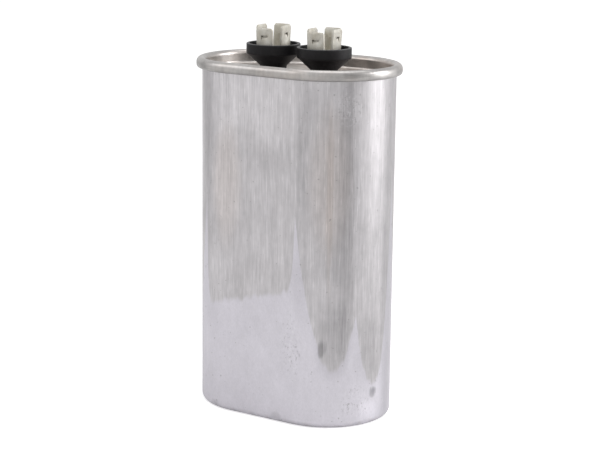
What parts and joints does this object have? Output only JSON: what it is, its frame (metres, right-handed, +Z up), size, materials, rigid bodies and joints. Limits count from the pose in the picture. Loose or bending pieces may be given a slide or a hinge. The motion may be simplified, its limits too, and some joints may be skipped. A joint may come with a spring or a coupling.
{
  "type": "motor run capacitor",
  "caption": "Oval motor run capacitor: drawn aluminium case, seamed recessed cover, black terminal cups with quick-connect tabs, and a film winding with a pressure interrupter inside.",
  "frame": {"origin": "under the middle of the foot, on the plane the case stands on", "axes": "+Z up towards the terminals, +X along the oval's long axis, +Y across its flat sides"},
  "size_m": [0.0738, 0.0484, 0.1316],
  "materials": {
    "aluminium": "satin, drawn",
    "compound": "dull",
    "black_moulding": "semi-matte",
    "tinned_brass": "tin plated, satin",
    "seal_rubber": "dull",
    "tan_board": "dull",
    "bare_brass": "satin",
    "copper": "satin",
    "natural_moulding": "dull",
    "lead_sleeve": "gloss",
    "zinc": "sprayed, rough",
    "metallised_film": "metallised",
    "white_moulding": "dull",
    "clear_film": "gloss, hazy"
  },
  "bodies": {
    "root": {"can": "aluminium", "cover": "aluminium", "seam_compound": "compound", "terminal_cup_left": "black_moulding", "terminal_cup_right": "black_moulding", "lower_tabs_left": "tinned_brass", "lower_tabs_right": "tinned_brass", "upper_tabs_left": "tinned_brass", "upper_tabs_right": "tinned_brass", "terminal_rivets": "tinned_brass", "seal_ring_left": "seal_rubber", "seal_ring_right": "seal_rubber", "lower_insulator_left": "tan_board", "lower_insulator_right": "tan_board", "contact_lug_left": "bare_brass", "contact_lug_right": "bare_brass", "break_strip_left": "copper", "break_strip_right": "copper", "interrupter_plate": "natural_moulding", "top_spacer": "natural_moulding", "lead_left": "lead_sleeve", "lead_right": "lead_sleeve", "end_spray_top": "zinc", "end_spray_bottom": "zinc", "winding": "metallised_film", "winding_core": "white_moulding", "winding_wrap": "clear_film", "liner": "clear_film", "bottom_pad": "white_moulding"}
  },
  "joints": []
}
